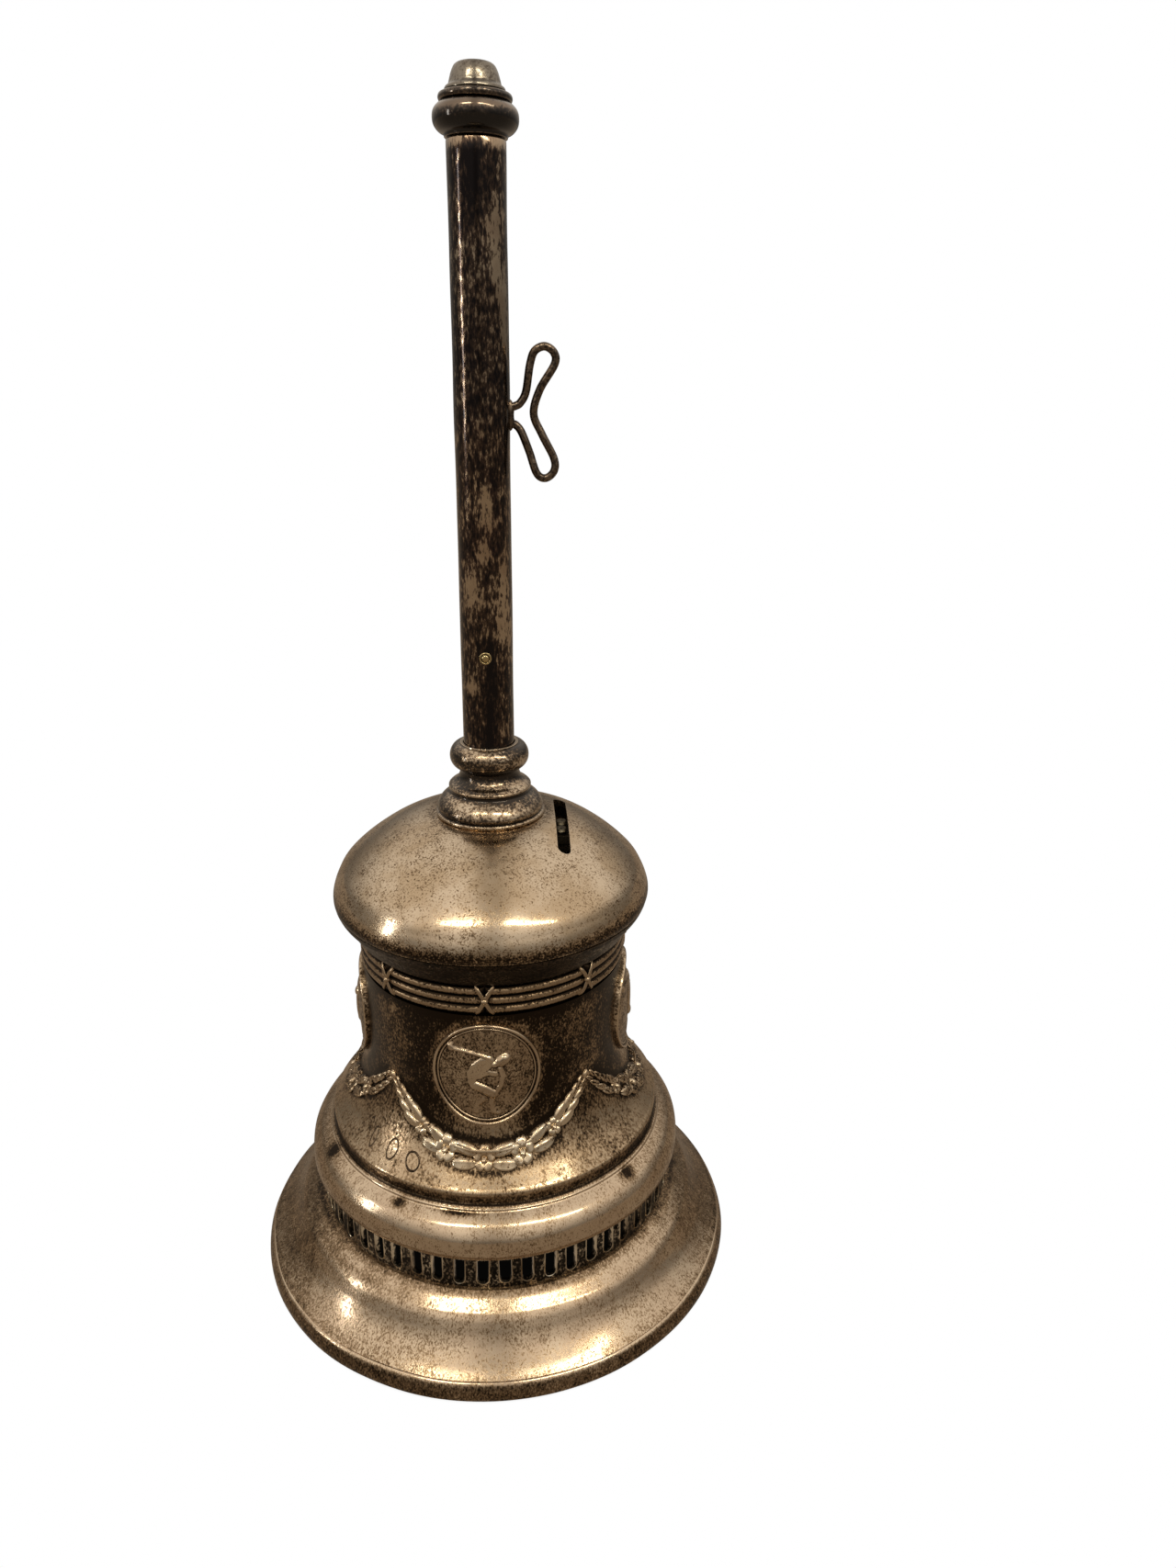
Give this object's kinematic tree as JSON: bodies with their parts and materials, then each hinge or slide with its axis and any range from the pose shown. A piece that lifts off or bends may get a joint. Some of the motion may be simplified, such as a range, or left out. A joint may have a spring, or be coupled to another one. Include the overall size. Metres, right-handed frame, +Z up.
{
  "type": "hand bell",
  "caption": "Silver-plated hand bell with a tubular handle, slotted dome, ornamented drum, pierced foot and a clapper hooked on a swinging link.",
  "frame": {"origin": "centre of the rim's flat bottom face, on the surface the bell stands on", "axes": "+Z up along the handle, -Y towards the front medallion, +X towards the wire cleat"},
  "size_m": [0.1234, 0.1234, 0.2754],
  "materials": {
    "plate": "tarnished silver plate, fine dark speckle, satin",
    "dark_plate": "blackened silver plate",
    "tube_plate": "dark brown tarnished silver plate, glossy",
    "aged_brass": "aged bare brass",
    "steel": "dull grey steel"
  },
  "bodies": {
    "bell": {"bell_body": "plate", "clapper_eyebolt": "steel", "cleat_pad": "tube_plate", "collar": "plate", "crown_nut": "steel", "crown_washer": "steel", "dome_cap": "plate", "eyebolt_nut": "steel", "finial_bulb": "tube_plate", "finial_flange": "tube_plate", "finial_tip": "aged_brass", "foot_skirt": "plate", "garland_back": "plate", "garland_front": "plate", "garland_left": "plate", "garland_right": "plate", "handle_core": "steel", "handle_tube": "tube_plate", "hanger_bridge": "steel", "hanger_strap": "steel", "medallion_back": "plate", "medallion_front": "plate", "medallion_left": "plate", "medallion_right": "plate", "neck_ring": "dark_plate", "pierced_gallery": "dark_plate", "reed_band": "plate", "rim_band": "plate", "strap_rivet_1": "steel", "strap_rivet_2": "steel", "strap_rivet_3": "steel", "strap_rivet_4": "steel", "torus_ring": "plate", "tube_pin": "aged_brass", "tube_plug": "aged_brass", "wire_cleat": "tube_plate"},
    "link": {"clapper_link": "steel"},
    "clapper": {"clapper_rod": "steel", "clapper_ball": "aged_brass"}
  },
  "joints": [
    {"name": "link_swing", "type": "hinge", "parent": "bell", "child": "link", "pos_m": [0, 0, 0.09], "axis": [1, 0, 0], "range_deg": [-22, 22]},
    {"name": "clapper_swing", "type": "hinge", "parent": "link", "child": "clapper", "pos_m": [0, 0, 0.08435], "axis": [0, 1, 0], "range_deg": [-30, 30]}
  ]
}
